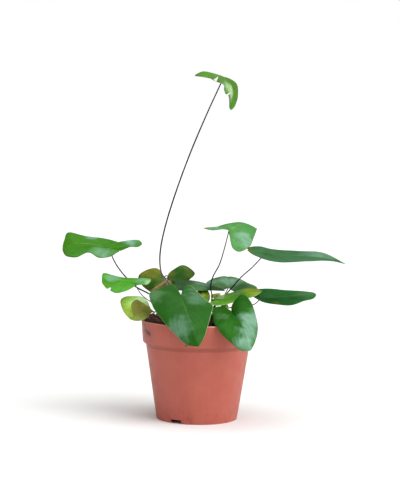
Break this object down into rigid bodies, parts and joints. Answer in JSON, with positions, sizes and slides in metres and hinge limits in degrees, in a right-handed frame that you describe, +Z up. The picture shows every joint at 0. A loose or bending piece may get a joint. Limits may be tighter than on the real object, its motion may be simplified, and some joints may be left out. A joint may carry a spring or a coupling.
{
  "type": "potted heart fern",
  "caption": "Small fern with glossy heart-shaped fronds on dark wiry stipes, growing in a tapered plastic nursery pot.",
  "frame": {"origin": "on the surface that the pot stands on, under the middle of the pot's foot", "axes": "+Z up, -Y the side that faces the viewer, +X to the viewer's right"},
  "size_m": [0.2994, 0.1638, 0.366],
  "materials": {
    "pot_plastic": "smooth moulded plastic, faint sheen",
    "soil": "crumbly moist potting soil",
    "crown": "scaly rhizome, dull",
    "stipe": "wiry, polished dark",
    "young_stipe": "scaly brown",
    "withered": "dry and papery",
    "leaf_deep": "leathery, satin",
    "leaf_fresh": "leathery, satin",
    "leaf_pale": "leathery, satin",
    "leaf_olive": "leathery, dull"
  },
  "bodies": {
    "root": {"pot": "pot_plastic", "soil": "soil", "crown": "crown", "crozier": "young_stipe", "withered_frond": "withered", "blade_tall": "leaf_fresh", "stipe_tall": "stipe", "blade_arched": "leaf_fresh", "stipe_arched": "stipe", "blade_long": "leaf_deep", "stipe_long": "stipe", "blade_low_right": "leaf_deep", "stipe_low_right": "stipe", "blade_back": "leaf_deep", "stipe_back": "stipe", "blade_middle": "leaf_deep", "stipe_middle": "stipe", "blade_far_left": "leaf_fresh", "stipe_far_left": "stipe", "blade_left": "leaf_fresh", "stipe_left": "stipe", "blade_folded": "leaf_pale", "stipe_folded": "stipe", "blade_old": "leaf_olive", "stipe_old": "stipe", "blade_front": "leaf_deep", "stipe_front": "stipe", "blade_front_right": "leaf_deep", "stipe_front_right": "stipe", "blade_slanted": "leaf_pale", "stipe_slanted": "stipe", "blade_young_dark": "leaf_olive", "stipe_young_dark": "stipe", "blade_young_pale": "leaf_pale", "stipe_young_pale": "stipe", "blade_young_back": "leaf_pale", "stipe_young_back": "stipe"}
  },
  "joints": []
}
